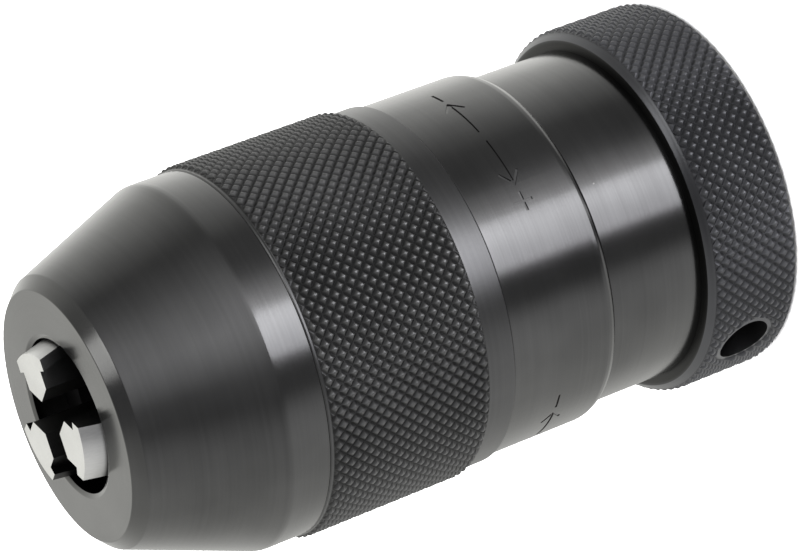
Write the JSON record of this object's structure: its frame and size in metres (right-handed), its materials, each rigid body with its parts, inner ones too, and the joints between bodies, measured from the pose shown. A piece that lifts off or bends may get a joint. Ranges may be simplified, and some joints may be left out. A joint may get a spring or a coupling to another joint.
{
  "type": "keyless drill chuck",
  "caption": "Self-tightening keyless drill chuck with gripping jaws in a tapered nose, a knurled clamping sleeve and a knurled holding ring, for a threaded machine spindle.",
  "frame": {"origin": "centre of the spindle thread's mouth, in the flat rear face", "axes": "+Z along the chuck's axis towards the nose, +Y through the first jaw"},
  "size_m": [0.05, 0.05, 0.0955],
  "materials": {
    "black_oxide": "black oxide over fine turning marks, satin",
    "knurled_black": "black oxide, cross knurled, satin",
    "ground_steel": "hardened and ground bright",
    "dark_machined": "hardened, dark grey, machined",
    "cage_brass": "machined brass",
    "ball_steel": "polished bearing steel",
    "seal_rubber": "matt black rubber"
  },
  "bodies": {
    "chuck_body": {"body": "black_oxide", "hold_ring": "knurled_black", "thrust_nut": "dark_machined", "nut_lock_screw": "dark_machined", "bearing_shim": "ground_steel", "bearing_race_fixed": "ground_steel", "dust_seal": "seal_rubber"},
    "sleeve_group": {"clamping_sleeve": "knurled_black", "nose_hood": "black_oxide", "jaw_guide": "dark_machined", "guide_pins": "ground_steel", "guide_snap_ring": "dark_machined", "bearing_race_turning": "ground_steel"},
    "ball_group": {"ball_cage": "cage_brass", "bearing_balls": "ball_steel"},
    "spindle_group": {"feed_spindle": "dark_machined", "drill_stop": "ground_steel"},
    "jaw_one": {"jaw_1": "ground_steel"},
    "jaw_two": {"jaw_2": "ground_steel"},
    "jaw_three": {"jaw_3": "ground_steel"}
  },
  "joints": [
    {"name": "sleeve_turn", "type": "hinge", "parent": "chuck_body", "child": "sleeve_group", "pos_m": [0, 0, 0.0472], "axis": [0, 0, 1], "range_deg": [-762.4, 1252.8]},
    {"name": "spindle_feed", "type": "slide", "parent": "sleeve_group", "child": "spindle_group", "axis": [0, 0, 1], "range_m": [-0.01392, 0.00847]},
    {"name": "jaw_1_feed", "type": "slide", "parent": "sleeve_group", "child": "jaw_one", "axis": [0, -0.2588, 0.9659], "range_m": [-0.01441, 0.00877]},
    {"name": "jaw_2_feed", "type": "slide", "parent": "sleeve_group", "child": "jaw_two", "axis": [0.2241, 0.1294, 0.9659], "range_m": [-0.01441, 0.00877]},
    {"name": "jaw_3_feed", "type": "slide", "parent": "sleeve_group", "child": "jaw_three", "axis": [-0.2241, 0.1294, 0.9659], "range_m": [-0.01441, 0.00877]},
    {"name": "ball_orbit", "type": "hinge", "parent": "chuck_body", "child": "ball_group", "pos_m": [0, 0, 0.0472], "axis": [0, 0, 1], "range_deg": [-381.3, 626.5]}
  ],
  "couplings": [
    {"joint": "spindle_feed", "follows": "sleeve_turn", "m_per_rad": -0.00063662},
    {"joint": "jaw_1_feed", "follows": "sleeve_turn", "m_per_rad": -0.00065908},
    {"joint": "jaw_2_feed", "follows": "sleeve_turn", "m_per_rad": -0.00065908},
    {"joint": "jaw_3_feed", "follows": "sleeve_turn", "m_per_rad": -0.00065908},
    {"joint": "ball_orbit", "follows": "sleeve_turn", "ratio": 0.5}
  ]
}
